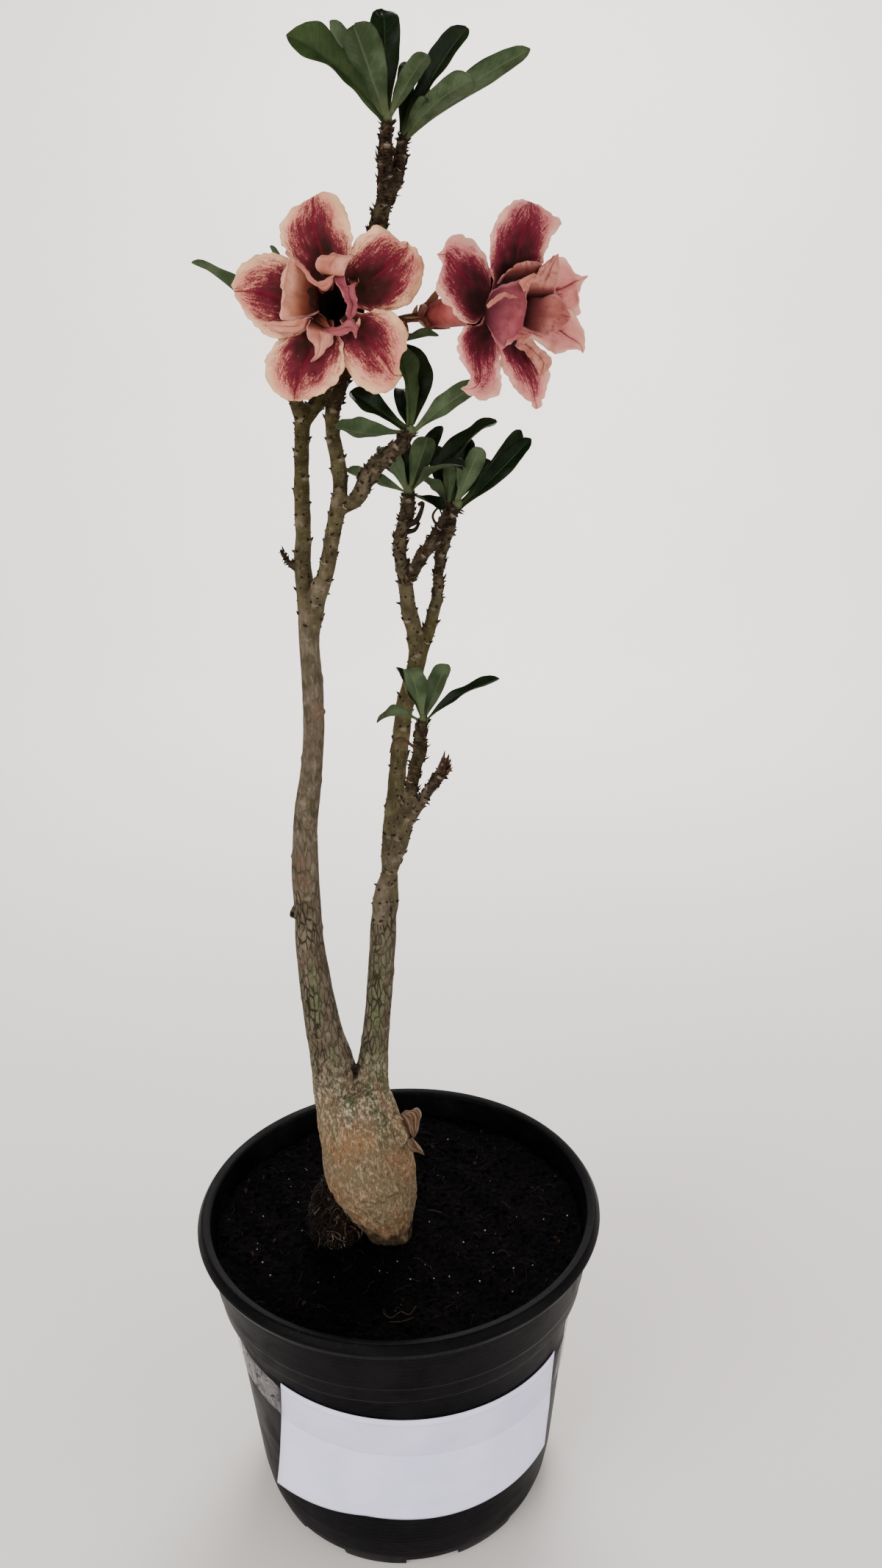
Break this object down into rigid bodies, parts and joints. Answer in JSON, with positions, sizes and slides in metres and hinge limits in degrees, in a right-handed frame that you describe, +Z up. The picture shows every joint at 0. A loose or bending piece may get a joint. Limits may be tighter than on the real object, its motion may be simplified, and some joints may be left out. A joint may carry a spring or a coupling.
{
  "type": "potted desert rose adenium",
  "caption": "Potted desert rose: swollen base forking into bare woody stems with rosettes of narrow glossy leaves and ruffled layered blooms, in a tapered nursery pot with a blank paper label.",
  "frame": {"origin": "centre of the pot's flat bottom", "axes": "+Z up along the pot's axis; -Y is the side that carries the paper label"},
  "size_m": [0.2, 0.2, 0.6762],
  "materials": {
    "pot_plastic": "dusty matte black thermoformed plastic",
    "potting_soil": "near-black crumbly potting mix with pale specks",
    "label_paper": "matte white paper, left blank",
    "clear_tape": "clear glossy packing tape",
    "bark": "grey-brown bark with pale leaf scars, greener towards the tips",
    "leaf": "dark glossy green above, pale matte green below",
    "petal": "soft pink with dark maroon streaks and cream margins",
    "calyx": "matte brownish red-green"
  },
  "bodies": {
    "root": {"pot": "pot_plastic", "soil": "potting_soil", "label_paper": "label_paper", "label_tape": "clear_tape", "plant_wood": "bark", "leaves_top_left": "leaf", "leaves_top_right": "leaf", "leaves_left_forward": "leaf", "leaves_left_middle": "leaf", "leaves_left_side": "leaf", "leaves_right_middle": "leaf", "leaves_right_side": "leaf", "leaves_right_back": "leaf", "leaves_right_low": "leaf", "bloom_left_petals": "petal", "bloom_left_calyx": "calyx", "bloom_right_petals": "petal", "bloom_right_calyx": "calyx"}
  },
  "joints": []
}
